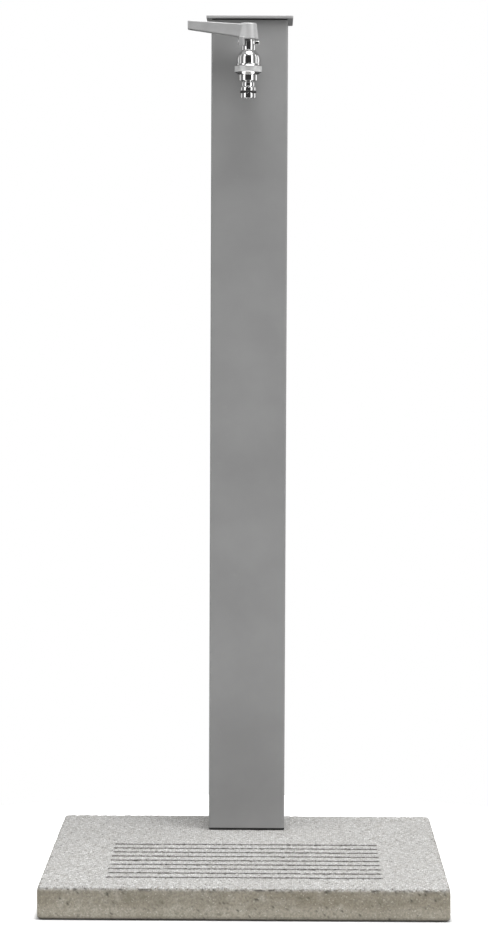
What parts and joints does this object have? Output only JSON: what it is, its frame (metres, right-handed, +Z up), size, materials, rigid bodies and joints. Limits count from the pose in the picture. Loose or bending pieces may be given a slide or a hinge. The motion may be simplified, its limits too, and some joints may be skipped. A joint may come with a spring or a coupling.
{
  "type": "garden water post",
  "caption": "Outdoor water post: square steel column on a grooved concrete slab, with a lever ball-valve tap and a click-fit hose nozzle.",
  "frame": {"origin": "centre of the slab's underside, on the ground", "axes": "+Z up the column; -Y is the front, where the tap is; +X is to the right seen from the front"},
  "size_m": [0.447, 0.447, 1],
  "materials": {
    "concrete": "exposed fine aggregate, matt",
    "column_paint": "satin grey powder coat",
    "cap_paint": "satin grey powder coat",
    "lever_metal": "satin silver paint",
    "chrome": "polished",
    "brass": "plain",
    "raw_steel": "plain",
    "zinc_steel": "zinc plated",
    "stainless": "plain",
    "rubber": "matt",
    "hose_rubber": "matt",
    "black_plastic": "matt",
    "white_plastic": "matt"
  },
  "bodies": {
    "post": {"base_slab": "concrete", "cap_insert": "black_plastic", "cap_plate": "cap_paint", "cap_screw_1": "zinc_steel", "cap_screw_2": "zinc_steel", "cap_screw_3": "zinc_steel", "cap_screw_4": "zinc_steel", "cap_seal": "rubber", "clamp_high": "stainless", "clamp_low": "stainless", "column": "column_paint", "foot_bolt_1": "zinc_steel", "foot_bolt_2": "zinc_steel", "foot_bolt_3": "zinc_steel", "foot_bolt_4": "zinc_steel", "foot_plate": "raw_steel", "foot_sheet": "rubber", "foot_washer_1": "zinc_steel", "foot_washer_2": "zinc_steel", "foot_washer_3": "zinc_steel", "foot_washer_4": "zinc_steel", "gland_nut": "chrome", "hose_nozzle": "chrome", "nozzle_oring": "rubber", "outlet_washer": "rubber", "riser_hose": "hose_rubber", "seat_front": "white_plastic", "seat_rear": "white_plastic", "stem_packing": "rubber", "supply_elbow": "brass", "supply_gasket": "rubber", "supply_nut": "brass", "supply_socket": "brass", "supply_washer": "zinc_steel", "tap_body": "chrome", "tap_elbow": "brass", "tap_gasket": "rubber", "tap_inlet": "chrome", "tap_nut": "brass", "tap_washer": "zinc_steel"},
    "lever_set": {"lever": "lever_metal", "lever_screw": "stainless", "lever_washer": "stainless", "valve_ball": "chrome", "valve_stem": "brass"}
  },
  "joints": [
    {"name": "lever_turn", "type": "hinge", "parent": "post", "child": "lever_set", "pos_m": [-0.001, 0.0934, 0.9458], "axis": [0, 0, 1], "range_deg": [0, 90]}
  ]
}
